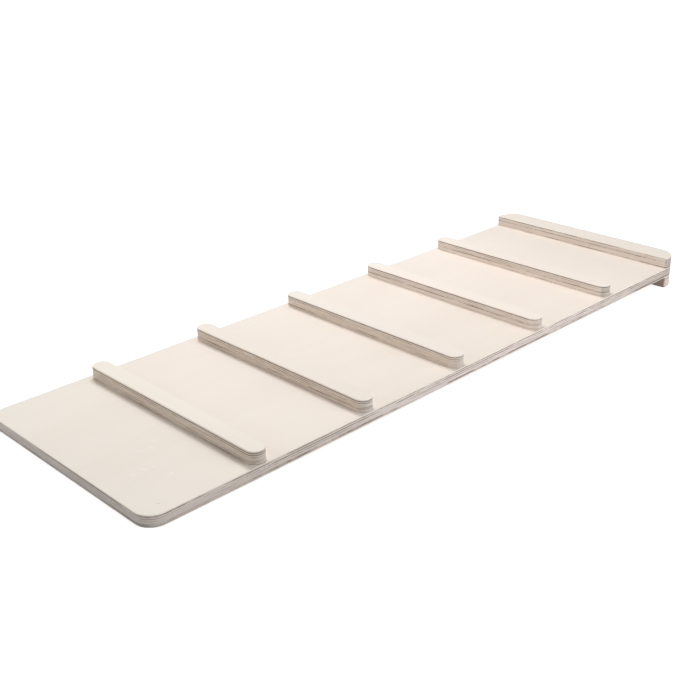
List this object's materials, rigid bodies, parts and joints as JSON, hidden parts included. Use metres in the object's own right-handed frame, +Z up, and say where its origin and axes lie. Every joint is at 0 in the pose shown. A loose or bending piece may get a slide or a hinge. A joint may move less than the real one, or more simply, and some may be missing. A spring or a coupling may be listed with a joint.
{
  "type": "children's slide ramp",
  "caption": "Long plywood slide ramp with climbing cleats across one side and a hook bar under one end.",
  "frame": {"origin": "middle of the ramp's length and width, at the height of the hook bar's underside", "axes": "+X along the ramp towards the hooked end, +Y across it, +Z up through the cleats"},
  "size_m": [1.215, 0.4, 0.058],
  "materials": {
    "board": "birch plywood, sanded and clear lacquered, satin",
    "cleats": "birch plywood, sanded and clear lacquered, satin",
    "bars": "birch plywood, sanded and clear lacquered, satin",
    "screws": "bright zinc plate"
  },
  "bodies": {
    "root": {"board": "board", "cleat_1": "cleats", "cleat_2": "cleats", "cleat_3": "cleats", "cleat_4": "cleats", "cleat_5": "cleats", "end_bar": "bars", "hook_bar": "bars", "bar_screw_1": "screws", "bar_screw_2": "screws", "bar_screw_3": "screws", "bar_screw_4": "screws", "cleat_1_screw_1": "screws", "cleat_1_screw_2": "screws", "cleat_1_screw_3": "screws", "cleat_1_screw_4": "screws", "cleat_2_screw_1": "screws", "cleat_2_screw_2": "screws", "cleat_2_screw_3": "screws", "cleat_2_screw_4": "screws", "cleat_3_screw_1": "screws", "cleat_3_screw_2": "screws", "cleat_3_screw_3": "screws", "cleat_3_screw_4": "screws", "cleat_4_screw_1": "screws", "cleat_4_screw_2": "screws", "cleat_4_screw_3": "screws", "cleat_4_screw_4": "screws", "cleat_5_screw_1": "screws", "cleat_5_screw_2": "screws", "cleat_5_screw_3": "screws", "cleat_5_screw_4": "screws"}
  },
  "joints": []
}
